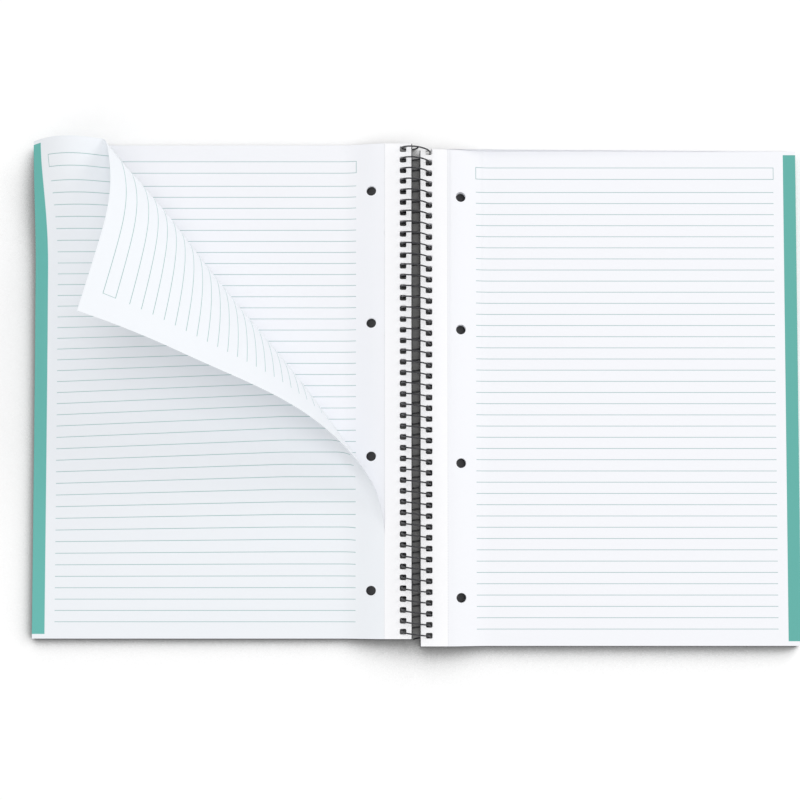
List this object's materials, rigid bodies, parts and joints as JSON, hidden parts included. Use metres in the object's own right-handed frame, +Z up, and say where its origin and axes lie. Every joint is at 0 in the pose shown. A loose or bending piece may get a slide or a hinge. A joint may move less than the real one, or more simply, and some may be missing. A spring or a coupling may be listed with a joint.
{
  "type": "open spiral notebook",
  "caption": "Spiral notebook lying open and flat, with a coil spine, punched lined sheets, black covers and a top left leaf torn along its perforation and curled over.",
  "frame": {"origin": "on the table, under the coil's axis and half way along the notebook", "axes": "+X from the coil across the right half, +Y along the coil towards the top of the sheets, +Z up from the table"},
  "size_m": [0.4588, 0.3024, 0.1161],
  "materials": {
    "coil_wire": "satin",
    "front_cover_sheet": "matte",
    "back_cover_sheet": "matte",
    "left_paper": "matte",
    "right_paper": "matte",
    "leaf_paper": "matte"
  },
  "bodies": {
    "right_half": {"back_cover": "back_cover_sheet", "right_pages": "right_paper"},
    "left_half": {"front_cover": "front_cover_sheet", "left_pages": "left_paper", "torn_leaf": "leaf_paper"},
    "coil": {"coil": "coil_wire"}
  },
  "joints": [
    {"name": "cover_hinge", "type": "hinge", "parent": "right_half", "child": "left_half", "pos_m": [0, 0, 0.00895], "axis": [0, 1, 0], "range_deg": [0, 180], "deforming": ["torn_leaf"]},
    {"name": "coil_turn", "type": "hinge", "parent": "right_half", "child": "coil", "pos_m": [0, 0, 0.00895], "axis": [0, 1, 0], "range_deg": [0, 90]}
  ],
  "couplings": [
    {"joint": "coil_turn", "follows": "cover_hinge", "ratio": 0.5}
  ]
}
